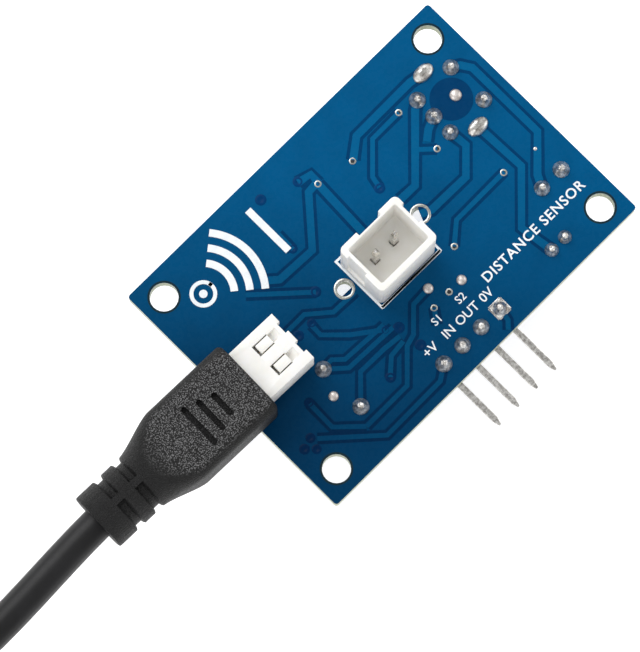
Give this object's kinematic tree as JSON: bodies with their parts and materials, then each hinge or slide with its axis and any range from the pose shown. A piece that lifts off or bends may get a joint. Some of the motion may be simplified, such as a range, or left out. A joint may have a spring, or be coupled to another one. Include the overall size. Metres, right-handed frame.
{
  "type": "ultrasonic distance sensor",
  "caption": "Blue circuit board with a white plug header and a right-angle signal header, and a waterproof ultrasonic probe on a black lead with a moulded grip plug.",
  "frame": {"origin": "centre of the board's underside, midway between the four corner holes", "axes": "+X along the board's long side, away from the lead; +Z out of the solder side; the signal pins point along -Y"},
  "size_m": [0.1947, 0.0396, 0.0222],
  "materials": {
    "circuit_board": "satin blue solder mask on glass epoxy",
    "white_nylon": "satin moulded nylon",
    "tinned_brass": "bright tin plate",
    "black_plastic": "matt moulded",
    "nickel_can": "plated, satin",
    "ferrite": "matt sintered",
    "enamelled_copper": "enamelled wire",
    "black_rubber": "matt",
    "aluminium_can": "satin",
    "grip_vinyl": "fine leather grain",
    "cable_vinyl": "satin soft vinyl",
    "tie_nylon": "satin moulded nylon",
    "aluminium_cup": "fine turned face",
    "piezo_ceramic": "silvered disc",
    "damping_foam": "felt",
    "potting_resin": "cast resin",
    "spring_steel": "bright strip"
  },
  "bodies": {
    "board": {"circuit_board": "circuit_board", "header_shell": "white_nylon", "header_pin_1": "tinned_brass", "header_pin_2": "tinned_brass", "signal_pin_1": "tinned_brass", "signal_pin_2": "tinned_brass", "signal_pin_3": "tinned_brass", "signal_pin_4": "tinned_brass", "coil_pin_1": "tinned_brass", "coil_pin_2": "tinned_brass", "coil_pin_3": "tinned_brass", "coil_pin_4": "tinned_brass", "coil_pin_5": "tinned_brass", "reservoir_cap_lead_1": "tinned_brass", "reservoir_cap_lead_2": "tinned_brass", "small_cap_lead_1": "tinned_brass", "small_cap_lead_2": "tinned_brass", "crystal_lead_1": "tinned_brass", "crystal_lead_2": "tinned_brass", "signal_block": "black_plastic", "coil_base": "black_plastic", "controller_chip": "black_plastic", "amplifier_chip": "black_plastic", "driver_chip": "black_plastic", "transistor_1": "black_plastic", "transistor_2": "black_plastic", "coil_can": "nickel_can", "crystal_can": "nickel_can", "coil_winding": "enamelled_copper", "reservoir_cap_bung": "black_rubber", "small_cap_bung": "black_rubber", "reservoir_cap_can": "aluminium_can", "small_cap_can": "aluminium_can"},
    "tuning_core": {"coil_core": "ferrite"},
    "probe_lead": {"plug_housing": "white_nylon", "plug_contact_1": "tinned_brass", "plug_contact_2": "tinned_brass", "plug_grip": "grip_vinyl", "cable_lead_out": "cable_vinyl", "cable_hank": "cable_vinyl", "cable_tie": "tie_nylon", "cable_to_probe": "cable_vinyl", "probe_shell": "black_plastic", "probe_isolation_ring": "black_rubber", "transducer_cup": "aluminium_cup", "piezo_disc": "piezo_ceramic", "damping_disc": "damping_foam", "probe_potting": "potting_resin", "probe_strain_relief": "black_rubber"},
    "clip_left": {"clip_left": "spring_steel"},
    "clip_right": {"clip_right": "spring_steel"}
  },
  "joints": [
    {"name": "core_turn", "type": "hinge", "parent": "board", "child": "tuning_core", "pos_m": [0.01528, 0.00594, -0.005], "axis": [0, 0, 1], "range_deg": [-180, 180]},
    {"name": "lead_lift", "type": "slide", "parent": "board", "child": "probe_lead", "axis": [0, 0, 1], "range_m": [0, 0.02]},
    {"name": "clip_left_press", "type": "hinge", "parent": "probe_lead", "child": "clip_left", "pos_m": [-0.1705, 0.0066, -0.001], "axis": [0, 0, 1], "range_deg": [-6, 0], "stiffness_Nm_per_rad": 0.02},
    {"name": "clip_right_press", "type": "hinge", "parent": "probe_lead", "child": "clip_right", "pos_m": [-0.1705, -0.012, -0.001], "axis": [0, 0, 1], "range_deg": [0, 6], "stiffness_Nm_per_rad": 0.02}
  ]
}
